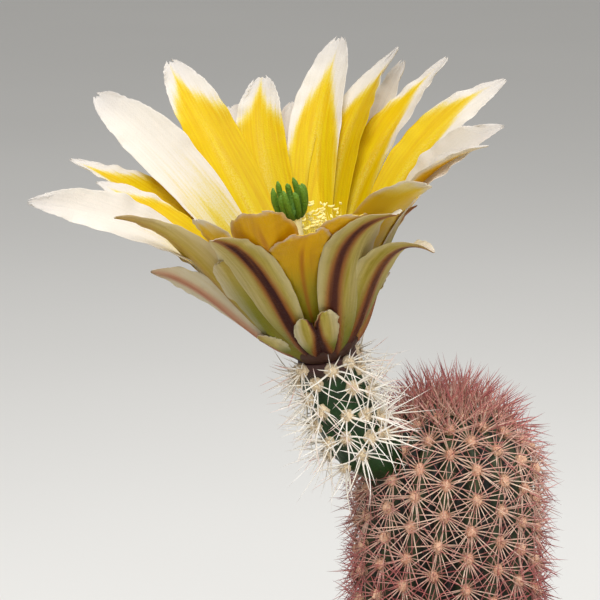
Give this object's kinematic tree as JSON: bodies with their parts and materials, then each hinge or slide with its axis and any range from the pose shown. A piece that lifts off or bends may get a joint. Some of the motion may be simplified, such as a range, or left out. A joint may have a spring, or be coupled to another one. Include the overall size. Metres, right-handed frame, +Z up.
{
  "type": "potted rainbow cactus in flower",
  "caption": "Short ribbed cactus stem with dense combed spines and a large funnel-shaped yellow flower on its side, standing in a plain round clay pot.",
  "frame": {"origin": "middle of the pot's flat underside, on the stem's upright axis", "axes": "+Z up along the stem, -Y toward the viewer of the picture, +X to the viewer's right; the flower leans toward -X and -Y"},
  "size_m": [0.1485, 0.1195, 0.2467],
  "materials": {
    "clay": "matte unglazed terracotta",
    "soil": "matte gritty planting mix",
    "stem": "dark green skin under cream to pink spines with cream wool",
    "ovary": "dark green to brown skin with white bristles",
    "outer_tepals": "thin satin tepals, cream green with maroon midstripes",
    "inner_tepals": "thin satin tepals, yellow with white margins",
    "stamens": "pale yellow filaments and anthers",
    "style": "smooth cream",
    "stigma": "satin dark green lobes"
  },
  "bodies": {
    "root": {"pot": "clay", "soil": "soil", "stem": "stem", "ovary": "ovary", "outer_tepals": "outer_tepals", "inner_tepals": "inner_tepals", "stamens": "stamens", "style": "style", "stigma": "stigma"}
  },
  "joints": []
}
